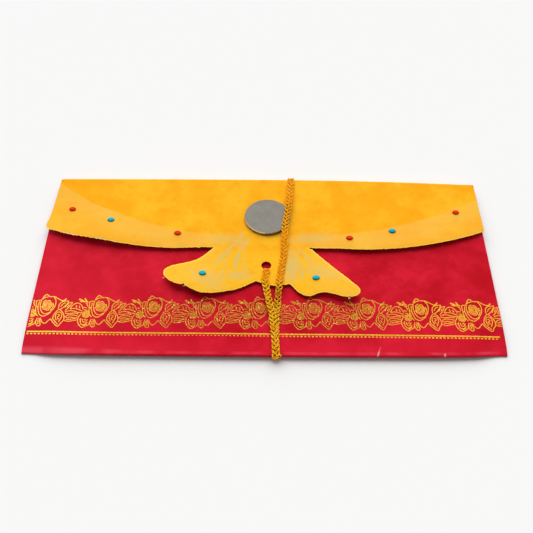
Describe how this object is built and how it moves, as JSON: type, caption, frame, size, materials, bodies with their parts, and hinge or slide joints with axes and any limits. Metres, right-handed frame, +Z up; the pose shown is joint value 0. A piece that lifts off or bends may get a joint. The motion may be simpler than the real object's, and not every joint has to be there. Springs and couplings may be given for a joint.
{
  "type": "gift money envelope",
  "caption": "Folded card money envelope with a butterfly-cut flap, glued coin and stones, and a flat gold cord tied round it.",
  "frame": {"origin": "centre of the bounding box's bottom, on the surface that the closed envelope lies on", "axes": "+X along the folds to the right, +Y from the bottom fold to the top fold, +Z up through the front"},
  "size_m": [0.1908, 0.0948, 0.0063],
  "materials": {
    "red_card": "printed card with a mottled red face and a white core",
    "yellow_card": "printed card with a mottled orange-yellow face and a pale print",
    "coin_steel": "worn plain steel",
    "glue": "dried brown glue",
    "red_stone": "moulded acrylic",
    "turquoise_stone": "moulded acrylic",
    "gold_cord": "braid of metallic gold thread"
  },
  "bodies": {
    "pocket": {"back_panel": "red_card", "front_panel": "red_card", "bottom_fold": "red_card", "right_side_tab": "red_card", "left_side_tab": "red_card", "flap_crease": "yellow_card"},
    "flap": {"flap": "yellow_card", "coin": "coin_steel", "coin_glue": "glue", "stone_left_outer": "red_stone", "stone_left_middle": "turquoise_stone", "stone_left_inner": "red_stone", "stone_left_lower": "turquoise_stone", "stone_right_lower": "turquoise_stone", "stone_right_inner": "red_stone", "stone_right_middle": "turquoise_stone", "stone_right_outer": "red_stone", "stopper_knot": "gold_cord"},
    "cord": {"cord_loop": "gold_cord", "cord_tether": "gold_cord", "edge_knot": "gold_cord"}
  },
  "joints": [
    {"name": "flap_hinge", "type": "hinge", "parent": "pocket", "child": "flap", "pos_m": [0, 0.0451, 0.00235], "axis": [-1, 0, 0], "range_deg": [0, 178], "deforming": ["flap_crease", "cord_loop"]},
    {"name": "cord_slip", "type": "slide", "parent": "flap", "child": "cord", "axis": [1, 0, 0], "range_m": [0, 0.1], "deforming": ["cord_tether"]}
  ]
}
